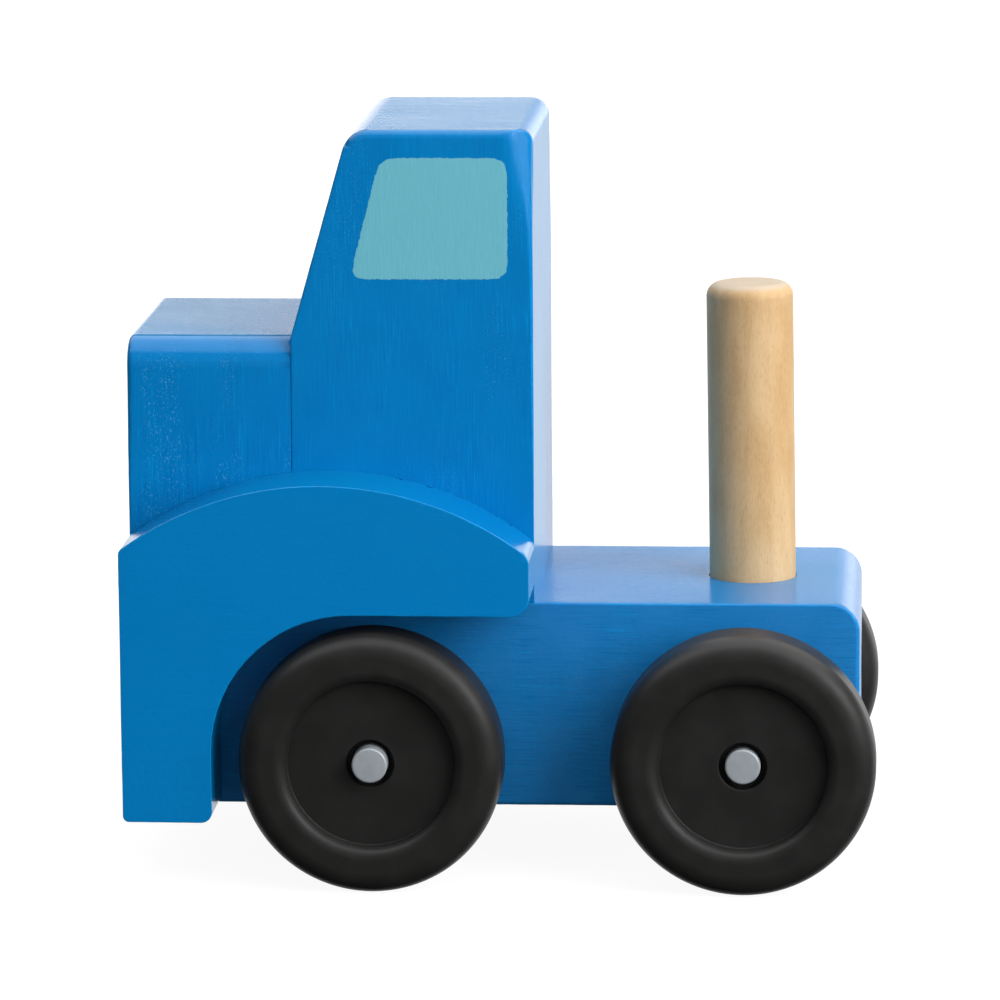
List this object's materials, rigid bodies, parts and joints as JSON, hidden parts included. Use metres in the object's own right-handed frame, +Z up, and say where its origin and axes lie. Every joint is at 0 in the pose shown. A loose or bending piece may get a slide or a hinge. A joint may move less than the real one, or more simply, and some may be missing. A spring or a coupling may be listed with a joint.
{
  "type": "toy truck",
  "caption": "Chunky painted wooden toy truck with a raked cab, arched fender plates, black wheels on metal axles and an upright wooden peg on its bed.",
  "frame": {"origin": "on the floor under the centre of the whole toy's bounding box", "axes": "+X towards the front (hood end), +Y towards the truck's left side, +Z up"},
  "size_m": [0.108, 0.074, 0.1085],
  "materials": {
    "blue_paint": "satin-gloss blue paint over wood",
    "bare_wood": "sanded, thin clear coat",
    "black_plastic": "satin moulded plastic",
    "plated_steel": "zinc plated"
  },
  "bodies": {
    "truck_body": {"chassis_block": "blue_paint", "hood_block": "blue_paint", "cab_block": "blue_paint", "fender_left": "blue_paint", "fender_right": "blue_paint", "stacking_peg": "bare_wood", "hood_dowel_left": "bare_wood", "hood_dowel_right": "bare_wood", "cab_dowel_front": "bare_wood", "cab_dowel_rear": "bare_wood", "fender_left_dowel_front": "bare_wood", "fender_left_dowel_rear": "bare_wood", "fender_right_dowel_front": "bare_wood", "fender_right_dowel_rear": "bare_wood"},
    "front_wheelset": {"front_axle_rod": "plated_steel", "wheel_front_left": "black_plastic", "wheel_front_right": "black_plastic"},
    "rear_wheelset": {"rear_axle_rod": "plated_steel", "wheel_rear_left": "black_plastic", "wheel_rear_right": "black_plastic"}
  },
  "joints": [
    {"name": "front_axle_spin", "type": "hinge", "parent": "truck_body", "child": "front_wheelset", "pos_m": [0.01825, 0, 0.019], "axis": [0, 1, 0], "continuous": true},
    {"name": "rear_axle_spin", "type": "hinge", "parent": "truck_body", "child": "rear_wheelset", "pos_m": [-0.03505, 0, 0.019], "axis": [0, 1, 0], "continuous": true}
  ]
}
